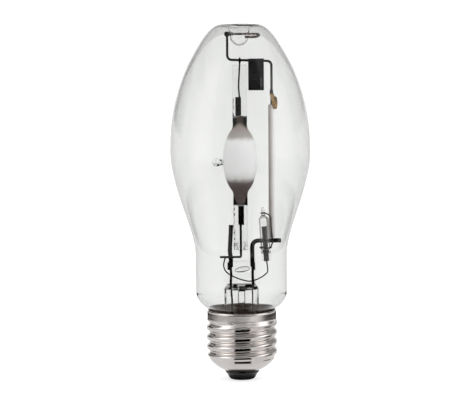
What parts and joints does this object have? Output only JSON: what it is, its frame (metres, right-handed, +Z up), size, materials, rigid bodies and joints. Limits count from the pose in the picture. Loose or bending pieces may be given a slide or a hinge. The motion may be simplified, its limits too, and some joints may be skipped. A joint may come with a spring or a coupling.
{
  "type": "metal halide lamp",
  "caption": "Upright clear discharge lamp: dimpled glass bulb, quartz arc tube on a wire frame, stem, getters and an Edison screw cap.",
  "frame": {"origin": "centre of the underside of the cap's centre contact", "axes": "+Z up the lamp's axis to the top of the bulb; the front, where the enhancer capsule stands before its hook, faces -Y, and the frame wire runs up the +X side"},
  "size_m": [0.0524, 0.0524, 0.1335],
  "materials": {
    "clear_glass": "clear, fire polished",
    "quartz": "clear fused quartz, end coats dark on the arc tube",
    "stem_glass": "clear lead-free stem glass",
    "nickel_plate": "bright nickel plate on rolled brass, faintly brushed",
    "black_glass": "glossy opaque black glass",
    "contact_brass": "pressed brass, satin",
    "cement": "rough baked cement",
    "post_metal": "oxidised nickel-iron, dark",
    "frame_steel": "drawn wire, dull",
    "lead_metal": "drawn molybdenum, dull and reddish black",
    "copper_lead": "oxidised copper",
    "foil_metal": "thin foil, satin",
    "tungsten": "ground tungsten",
    "flag_getter": "black getter coat, half gloss",
    "ring_getter": "golden brown heat-tinted steel"
  },
  "bodies": {
    "root": {"outer_bulb": "clear_glass", "screw_shell": "nickel_plate", "cap_insulator": "black_glass", "contact_plate": "contact_brass", "basing_cement": "cement", "stem_flare": "stem_glass", "exhaust_tube": "stem_glass", "left_post": "post_metal", "right_post": "post_metal", "left_seal_lead": "lead_metal", "right_seal_lead": "lead_metal", "contact_lead": "copper_lead", "shell_lead": "copper_lead", "frame_wire": "frame_steel", "frame_sleeve": "quartz", "getter_tab": "frame_steel", "ring_getter": "ring_getter", "strip_getter": "flag_getter", "arc_tube": "quartz", "upper_foil": "foil_metal", "lower_foil": "foil_metal", "upper_electrode": "tungsten", "lower_electrode": "tungsten", "upper_electrode_coil": "tungsten", "lower_electrode_coil": "tungsten", "upper_lead": "lead_metal", "lower_lead": "lead_metal", "enhancer_capsule": "quartz", "enhancer_foil": "foil_metal", "enhancer_lead": "lead_metal", "capsule_holder": "frame_steel"}
  },
  "joints": []
}
